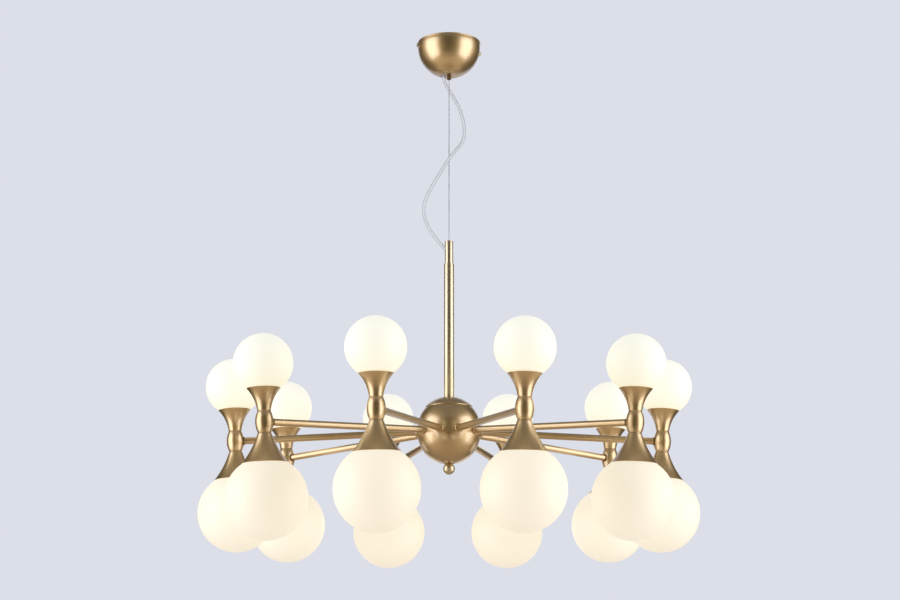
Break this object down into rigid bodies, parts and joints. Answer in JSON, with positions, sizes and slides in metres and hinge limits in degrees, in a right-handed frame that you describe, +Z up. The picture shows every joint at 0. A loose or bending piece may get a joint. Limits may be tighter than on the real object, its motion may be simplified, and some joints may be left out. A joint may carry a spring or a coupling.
{
  "type": "multi arm chandelier",
  "caption": "Chandelier on one steel wire: a ceiling bowl, a rod and a round hub with sloping arms, each with an opal glass globe above and a larger one below.",
  "frame": {"origin": "on the ceiling, at the centre of the bracket's two screw holes, straight above the wire", "axes": "+Z up, out of the ceiling side; +X along the first arm; -Y towards the viewer"},
  "size_m": [0.9316, 0.893, 0.9969],
  "materials": {
    "satin_brass": "satin champagne brass",
    "bright_brass": "brighter satin brass, turned",
    "dark_brass": "dark brass",
    "zinc_steel": "zinc plated",
    "steel_wire": "stranded steel wire",
    "clear_pvc": "clear, glossy",
    "white_plastic": "matte",
    "white_ceramic": "glazed ceramic",
    "bulb_glass": "frosted capsule",
    "opal_glass": "opal white, satin, lit from inside"
  },
  "bodies": {
    "ceiling_set": {"mounting_bracket": "zinc_steel", "canopy_bowl": "satin_brass", "terminal_block": "white_plastic", "wire_coupler": "bright_brass", "coupler_cap": "bright_brass", "cable_bush": "clear_pvc"},
    "lock_screw_left": {"lock_screw_left": "bright_brass"},
    "lock_screw_right": {"lock_screw_right": "bright_brass"},
    "wire_swivel": {"ball_seat": "white_plastic"},
    "wire": {"wire_end_ball": "bright_brass", "suspension_wire": "steel_wire", "power_cable": "clear_pvc"},
    "pendant": {"gripper_barrel": "bright_brass", "wire_gripper": "bright_brass", "down_rod": "bright_brass", "hub_lid": "satin_brass", "hub_shell": "satin_brass", "hub_stem": "zinc_steel", "finial_ball": "satin_brass", "wire_junction": "white_plastic", "arm_01": "satin_brass", "arm_02": "satin_brass", "arm_03": "satin_brass", "arm_04": "satin_brass", "arm_05": "satin_brass", "arm_06": "satin_brass", "arm_07": "satin_brass", "arm_08": "satin_brass", "arm_09": "satin_brass", "arm_10": "satin_brass", "arm_collars": "satin_brass", "arm_locknuts": "zinc_steel", "arm_end_rings": "dark_brass", "beads": "satin_brass", "upper_cups": "satin_brass", "lower_cups": "satin_brass", "fixture_stems": "zinc_steel", "lamp_sockets": "white_ceramic", "bulbs": "bulb_glass"},
    "upper_globe_01": {"upper_globe_01": "opal_glass"},
    "lower_globe_01": {"lower_globe_01": "opal_glass"},
    "upper_globe_02": {"upper_globe_02": "opal_glass"},
    "lower_globe_02": {"lower_globe_02": "opal_glass"},
    "upper_globe_03": {"upper_globe_03": "opal_glass"},
    "lower_globe_03": {"lower_globe_03": "opal_glass"},
    "upper_globe_04": {"upper_globe_04": "opal_glass"},
    "lower_globe_04": {"lower_globe_04": "opal_glass"},
    "upper_globe_05": {"upper_globe_05": "opal_glass"},
    "lower_globe_05": {"lower_globe_05": "opal_glass"},
    "upper_globe_06": {"upper_globe_06": "opal_glass"},
    "lower_globe_06": {"lower_globe_06": "opal_glass"},
    "upper_globe_07": {"upper_globe_07": "opal_glass"},
    "lower_globe_07": {"lower_globe_07": "opal_glass"},
    "upper_globe_08": {"upper_globe_08": "opal_glass"},
    "lower_globe_08": {"lower_globe_08": "opal_glass"},
    "upper_globe_09": {"upper_globe_09": "opal_glass"},
    "lower_globe_09": {"lower_globe_09": "opal_glass"},
    "upper_globe_10": {"upper_globe_10": "opal_glass"},
    "lower_globe_10": {"lower_globe_10": "opal_glass"}
  },
  "joints": [
    {"name": "hang_height", "type": "slide", "parent": "wire", "child": "pendant", "axis": [0, 0, 1], "range_m": [-0.03, 0.12], "deforming": ["power_cable"]},
    {"name": "hang_swing_depth", "type": "hinge", "parent": "ceiling_set", "child": "wire_swivel", "pos_m": [0, 0, -0.058], "axis": [1, 0, 0], "range_deg": [-6, 6]},
    {"name": "hang_swing_side", "type": "hinge", "parent": "wire_swivel", "child": "wire", "pos_m": [0, 0, -0.058], "axis": [0, 1, 0], "range_deg": [-6, 6]},
    {"name": "screw_left", "type": "hinge", "parent": "ceiling_set", "child": "lock_screw_left", "pos_m": [0, 0, -0.013], "axis": [-0.9272, -0.3746, 0], "continuous": true},
    {"name": "screw_right", "type": "hinge", "parent": "ceiling_set", "child": "lock_screw_right", "pos_m": [0, 0, -0.013], "axis": [0.9272, 0.3746, 0], "continuous": true},
    {"name": "upper_globe_01_off", "type": "slide", "parent": "pendant", "child": "upper_globe_01", "axis": [0.0515, 0, 0.9987], "range_m": [0, 0.06]},
    {"name": "lower_globe_01_off", "type": "slide", "parent": "pendant", "child": "lower_globe_01", "axis": [-0.0515, 0, -0.9987], "range_m": [0, 0.06]},
    {"name": "upper_globe_02_off", "type": "slide", "parent": "pendant", "child": "upper_globe_02", "axis": [0.0416, 0.0303, 0.9987], "range_m": [0, 0.06]},
    {"name": "lower_globe_02_off", "type": "slide", "parent": "pendant", "child": "lower_globe_02", "axis": [-0.0416, -0.0303, -0.9987], "range_m": [0, 0.06]},
    {"name": "upper_globe_03_off", "type": "slide", "parent": "pendant", "child": "upper_globe_03", "axis": [0.0159, 0.0489, 0.9987], "range_m": [0, 0.06]},
    {"name": "lower_globe_03_off", "type": "slide", "parent": "pendant", "child": "lower_globe_03", "axis": [-0.0159, -0.0489, -0.9987], "range_m": [0, 0.06]},
    {"name": "upper_globe_04_off", "type": "slide", "parent": "pendant", "child": "upper_globe_04", "axis": [-0.0159, 0.0489, 0.9987], "range_m": [0, 0.06]},
    {"name": "lower_globe_04_off", "type": "slide", "parent": "pendant", "child": "lower_globe_04", "axis": [0.0159, -0.0489, -0.9987], "range_m": [0, 0.06]},
    {"name": "upper_globe_05_off", "type": "slide", "parent": "pendant", "child": "upper_globe_05", "axis": [-0.0416, 0.0303, 0.9987], "range_m": [0, 0.06]},
    {"name": "lower_globe_05_off", "type": "slide", "parent": "pendant", "child": "lower_globe_05", "axis": [0.0416, -0.0303, -0.9987], "range_m": [0, 0.06]},
    {"name": "upper_globe_06_off", "type": "slide", "parent": "pendant", "child": "upper_globe_06", "axis": [-0.0515, 0, 0.9987], "range_m": [0, 0.06]},
    {"name": "lower_globe_06_off", "type": "slide", "parent": "pendant", "child": "lower_globe_06", "axis": [0.0515, 0, -0.9987], "range_m": [0, 0.06]},
    {"name": "upper_globe_07_off", "type": "slide", "parent": "pendant", "child": "upper_globe_07", "axis": [-0.0416, -0.0303, 0.9987], "range_m": [0, 0.06]},
    {"name": "lower_globe_07_off", "type": "slide", "parent": "pendant", "child": "lower_globe_07", "axis": [0.0416, 0.0303, -0.9987], "range_m": [0, 0.06]},
    {"name": "upper_globe_08_off", "type": "slide", "parent": "pendant", "child": "upper_globe_08", "axis": [-0.0159, -0.0489, 0.9987], "range_m": [0, 0.06]},
    {"name": "lower_globe_08_off", "type": "slide", "parent": "pendant", "child": "lower_globe_08", "axis": [0.0159, 0.0489, -0.9987], "range_m": [0, 0.06]},
    {"name": "upper_globe_09_off", "type": "slide", "parent": "pendant", "child": "upper_globe_09", "axis": [0.0159, -0.0489, 0.9987], "range_m": [0, 0.06]},
    {"name": "lower_globe_09_off", "type": "slide", "parent": "pendant", "child": "lower_globe_09", "axis": [-0.0159, 0.0489, -0.9987], "range_m": [0, 0.06]},
    {"name": "upper_globe_10_off", "type": "slide", "parent": "pendant", "child": "upper_globe_10", "axis": [0.0416, -0.0303, 0.9987], "range_m": [0, 0.06]},
    {"name": "lower_globe_10_off", "type": "slide", "parent": "pendant", "child": "lower_globe_10", "axis": [-0.0416, 0.0303, -0.9987], "range_m": [0, 0.06]}
  ]
}
